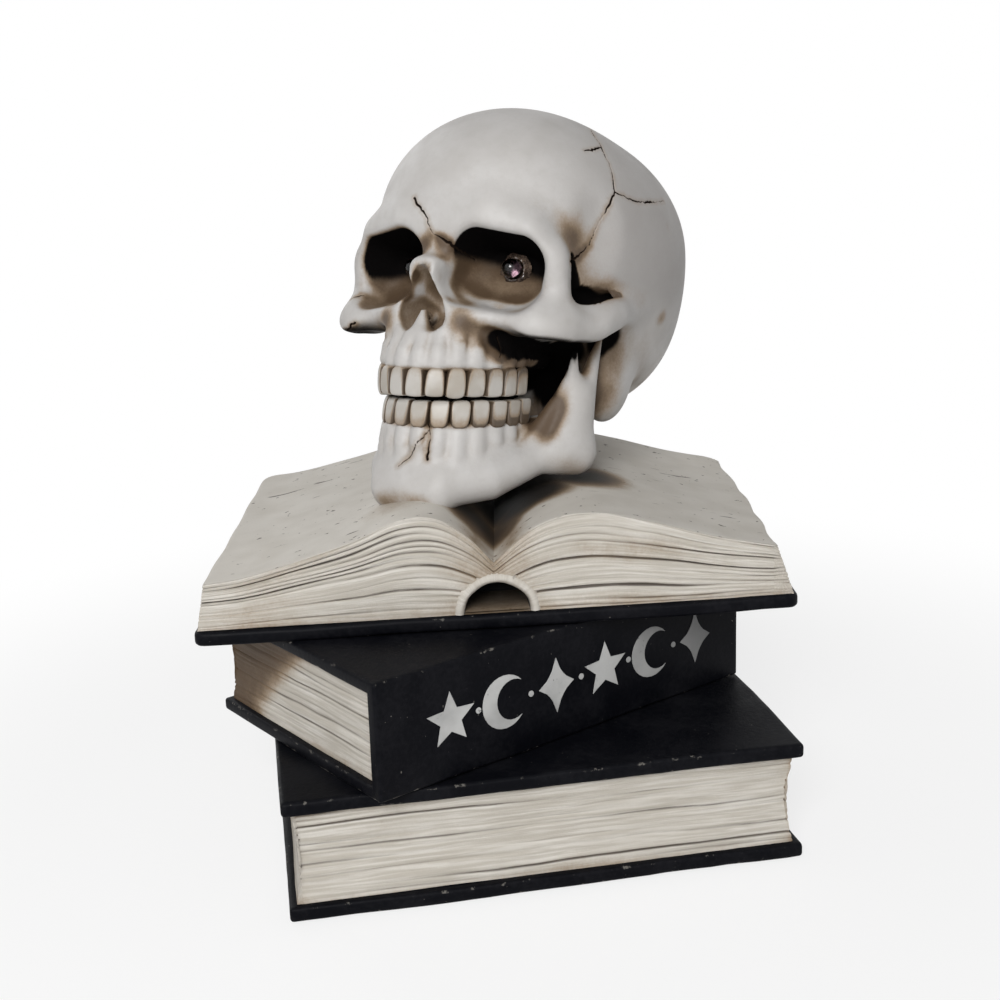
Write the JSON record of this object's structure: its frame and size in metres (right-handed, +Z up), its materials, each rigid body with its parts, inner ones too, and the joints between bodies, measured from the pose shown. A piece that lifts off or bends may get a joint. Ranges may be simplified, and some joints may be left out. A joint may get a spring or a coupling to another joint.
{
  "type": "skull on stacked books decoration",
  "caption": "Life-like skull with lit eye sockets resting on an open book over a stack of old books, with a battery box, hinged door and slide switch in the underside",
  "frame": {"origin": "on the surface that the decoration stands on, under the middle of its overall box", "axes": "+Z up; -Y towards the viewer, square to the fore-edge of the bottom book; +X to the viewer's right"},
  "size_m": [0.1692, 0.1466, 0.1893],
  "materials": {
    "bone": "satin",
    "page_paint": "matte",
    "cover_paint": "satin",
    "lamp": "gloss",
    "glue": "gloss",
    "lead": "satin",
    "shell": "satin",
    "cell": "satin",
    "steel": "satin",
    "circuit": "satin",
    "felt": "matte"
  },
  "bodies": {
    "base": {"skull_cranium": "bone", "skull_jaw": "bone", "right_eye_lamp": "lamp", "left_eye_lamp": "lamp", "right_eye_glue": "glue", "left_eye_glue": "glue", "right_eye_lead": "lead", "left_eye_lead": "lead", "open_book_pages": "page_paint", "open_book_cover": "cover_paint", "middle_book_pages": "page_paint", "middle_book_cover": "cover_paint", "bottom_book_pages": "page_paint", "bottom_book_cover": "cover_paint", "battery_box": "shell", "front_cell": "cell", "back_cell": "cell", "series_contact": "steel", "front_contact": "steel", "back_contact": "steel", "switch_board": "circuit", "switch_housing": "steel", "box_screw_1": "steel", "box_screw_2": "steel", "box_screw_3": "steel", "box_screw_4": "steel", "foot_pad_1": "felt", "foot_pad_2": "felt", "foot_pad_3": "felt", "foot_pad_4": "felt"},
    "door": {"battery_door": "shell"},
    "slider": {"switch_slider": "shell"}
  },
  "joints": [
    {"name": "battery_door_hinge", "type": "hinge", "parent": "base", "child": "door", "pos_m": [-0.03407, -0.01699, 0.002], "axis": [0, 1, 0], "range_deg": [0, 100]},
    {"name": "switch_slide", "type": "slide", "parent": "base", "child": "slider", "axis": [0, 1, 0], "range_m": [0, 0.004]}
  ]
}
